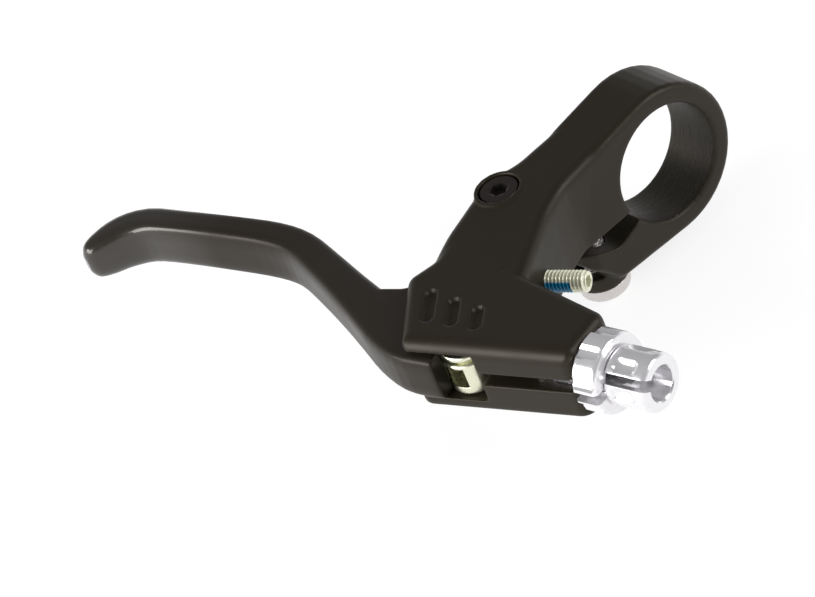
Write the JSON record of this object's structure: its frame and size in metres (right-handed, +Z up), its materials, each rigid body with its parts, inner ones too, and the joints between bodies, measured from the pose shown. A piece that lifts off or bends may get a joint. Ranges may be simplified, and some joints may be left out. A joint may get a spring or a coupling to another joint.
{
  "type": "bicycle brake lever",
  "caption": "Right-hand flat-bar brake lever: cast clamp bracket, hinged finger blade, swivelling cable anchor, slotted barrel adjuster with lock nut and a reach screw.",
  "frame": {"origin": "centre of the handlebar bore, midway along the clamp", "axes": "+X runs along the handlebar towards the barrel adjuster, -Y points forwards from the handlebar to the blade, +Z is up along the lever pivot, on the side of the pivot bolt's head"},
  "size_m": [0.129, 0.0903, 0.0332],
  "materials": {
    "bracket_paint": "satin",
    "blade_paint": "satin",
    "black_steel": "satin",
    "steel": "satin",
    "bush": "satin",
    "washer": "matte",
    "anchor_plating": "satin",
    "bright_metal": "polished",
    "screw_plating": "satin",
    "satin_steel": "satin"
  },
  "bodies": {
    "bracket": {"lever_bracket": "bracket_paint", "pivot_bolt": "black_steel", "pivot_nut": "steel", "upper_pivot_washer": "washer", "lower_pivot_washer": "washer", "clamp_bolt": "satin_steel"},
    "blade": {"lever_blade": "blade_paint", "pivot_bush": "bush"},
    "anchor": {"cable_anchor": "anchor_plating"},
    "barrel": {"barrel_adjuster": "bright_metal"},
    "nut": {"lock_nut": "bright_metal"},
    "screw": {"reach_screw": "screw_plating"}
  },
  "joints": [
    {"name": "lever_squeeze", "type": "hinge", "parent": "bracket", "child": "blade", "pos_m": [-0.0043, -0.0282, 0.004], "axis": [0, 0, -1], "range_deg": [0, 28]},
    {"name": "anchor_swivel", "type": "hinge", "parent": "blade", "child": "anchor", "pos_m": [0.01494, -0.05672, 0.004], "axis": [0, 0, 1], "range_deg": [-10, 35]},
    {"name": "barrel_turn", "type": "hinge", "parent": "bracket", "child": "barrel", "pos_m": [0.0385, -0.0474, 0.0042], "axis": [0.9781, 0.2079, 0], "continuous": true},
    {"name": "nut_turn", "type": "hinge", "parent": "bracket", "child": "nut", "pos_m": [0.0385, -0.0474, 0.0042], "axis": [0.9781, 0.2079, 0], "continuous": true},
    {"name": "reach_turn", "type": "hinge", "parent": "bracket", "child": "screw", "pos_m": [0.00788, -0.03759, 0.0032], "axis": [0.891, 0.454, 0], "continuous": true}
  ]
}
